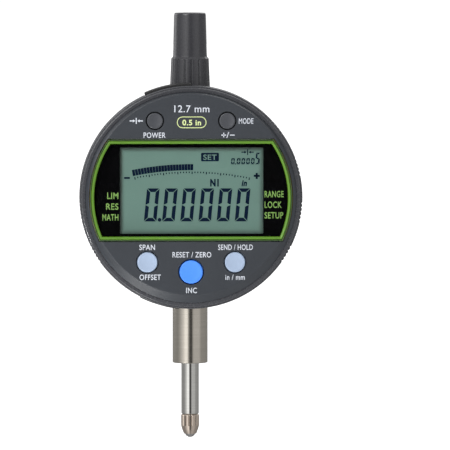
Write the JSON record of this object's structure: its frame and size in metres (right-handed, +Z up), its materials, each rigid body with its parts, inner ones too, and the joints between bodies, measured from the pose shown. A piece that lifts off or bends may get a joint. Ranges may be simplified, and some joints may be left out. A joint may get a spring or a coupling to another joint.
{
  "type": "dial indicator",
  "caption": "Digital dial indicator with a round turning display, keys, a stem, a plunger spindle with a ball contact, and a dust cap",
  "frame": {"origin": "on the spindle axis, half way along the clamping length of the stem", "axes": "+Z up the spindle towards the dust cap, +X to the right, display facing -Y"},
  "size_m": [0.06, 0.0266, 0.1151],
  "materials": {
    "housing_alloy": "fine matt coating on a die-cast alloy",
    "screw_steel": "bright turned steel",
    "black_rubber": "matt moulded rubber",
    "stem_steel": "ground and lightly satin",
    "bronze": "machined bearing bronze",
    "circuit_board": "green solder mask",
    "spring_steel": "drawn wire",
    "white_plastic": "moulded white",
    "amber_film": "thin amber film",
    "spindle_steel": "hardened, ground and polished",
    "contact_nickel": "nickel plated, straight knurl",
    "carbide": "lapped carbide ball",
    "clear_glass": "clear and polished",
    "display_plastic": "fine matt blue-grey moulding",
    "frame_green": "satin green",
    "black_plastic": "black moulding",
    "lcd_grey_green": "reflective liquid crystal display",
    "cap_plastic": "dark satin moulding",
    "button_grey": "matt keytop",
    "button_pale_blue": "matt keytop",
    "button_blue": "matt keytop",
    "battery_steel": "nickel plated can"
  },
  "bodies": {
    "housing": {"main_housing": "housing_alloy", "back_cover": "housing_alloy", "back_cover_screw_1": "screw_steel", "back_cover_screw_2": "screw_steel", "back_cover_screw_3": "screw_steel", "back_cover_screw_4": "screw_steel", "back_gasket": "black_rubber", "stem": "stem_steel", "stem_bushing": "bronze", "stem_bumper": "black_rubber", "top_collar": "stem_steel", "top_bushing": "bronze", "guide_rail": "bronze", "guide_rail_screw_1": "screw_steel", "guide_rail_screw_2": "screw_steel", "detector_board": "circuit_board", "signal_board": "circuit_board", "measuring_spring": "spring_steel", "retaining_ring": "stem_steel", "friction_washer": "white_plastic", "flex_coil": "amber_film"},
    "spindle": {"spindle": "spindle_steel", "contact_point": "contact_nickel", "contact_ball": "carbide", "scale_carrier": "housing_alloy", "carrier_set_screw": "screw_steel", "main_scale": "clear_glass", "guide_pin": "screw_steel", "spindle_end_screw": "screw_steel"},
    "dust_cap": {"dust_cap": "cap_plastic"},
    "display": {"display_case": "display_plastic", "front_bezel": "display_plastic", "display_screw_1": "screw_steel", "display_screw_2": "screw_steel", "display_screw_3": "screw_steel", "display_screw_4": "screw_steel", "window_frame": "frame_green", "window_mask": "black_plastic", "window_lens": "clear_glass", "lcd_panel": "lcd_grey_green", "lcd_connector": "black_rubber", "display_chassis": "white_plastic", "keypad_membrane": "amber_film", "display_board": "circuit_board", "data_socket": "black_plastic", "battery_contact": "bronze"},
    "battery_tray": {"battery_tray": "black_plastic", "battery": "battery_steel"},
    "data_port_cover": {"data_port_cover": "black_plastic"},
    "power_button": {"power_button": "button_grey"},
    "menu_button": {"menu_button": "button_grey"},
    "preset_button": {"preset_button": "button_pale_blue"},
    "zero_button": {"zero_button": "button_blue"},
    "hold_button": {"hold_button": "button_pale_blue"}
  },
  "joints": [
    {"name": "spindle_travel", "type": "slide", "parent": "housing", "child": "spindle", "axis": [0, 0, 1], "range_m": [0, 0.0127], "stiffness_N_per_m": 40, "springref_m": -0.0225, "deforming": ["measuring_spring"]},
    {"name": "display_turn", "type": "hinge", "parent": "housing", "child": "display", "pos_m": [0, -0.0119, 0.0382], "axis": [0, 1, 0], "range_deg": [-165, 165]},
    {"name": "dust_cap_lift", "type": "slide", "parent": "housing", "child": "dust_cap", "axis": [0, 0, 1], "range_m": [0, 0.022]},
    {"name": "battery_tray_slide", "type": "slide", "parent": "display", "child": "battery_tray", "axis": [-0.2079, 0, 0.9781], "range_m": [0, 0.014]},
    {"name": "data_port_cover_pull", "type": "slide", "parent": "display", "child": "data_port_cover", "axis": [-0.284, 0, -0.9588], "range_m": [0, 0.005]},
    {"name": "power_button_press", "type": "slide", "parent": "display", "child": "power_button", "axis": [0, 1, 0], "range_m": [0, 0.0005], "stiffness_N_per_m": 1500, "springref_m": -0.0005},
    {"name": "menu_button_press", "type": "slide", "parent": "display", "child": "menu_button", "axis": [0, 1, 0], "range_m": [0, 0.0005], "stiffness_N_per_m": 1500, "springref_m": -0.0005},
    {"name": "preset_button_press", "type": "slide", "parent": "display", "child": "preset_button", "axis": [0, 1, 0], "range_m": [0, 0.0005], "stiffness_N_per_m": 1500, "springref_m": -0.0005},
    {"name": "zero_button_press", "type": "slide", "parent": "display", "child": "zero_button", "axis": [0, 1, 0], "range_m": [0, 0.0005], "stiffness_N_per_m": 1500, "springref_m": -0.0005},
    {"name": "hold_button_press", "type": "slide", "parent": "display", "child": "hold_button", "axis": [0, 1, 0], "range_m": [0, 0.0005], "stiffness_N_per_m": 1500, "springref_m": -0.0005}
  ]
}
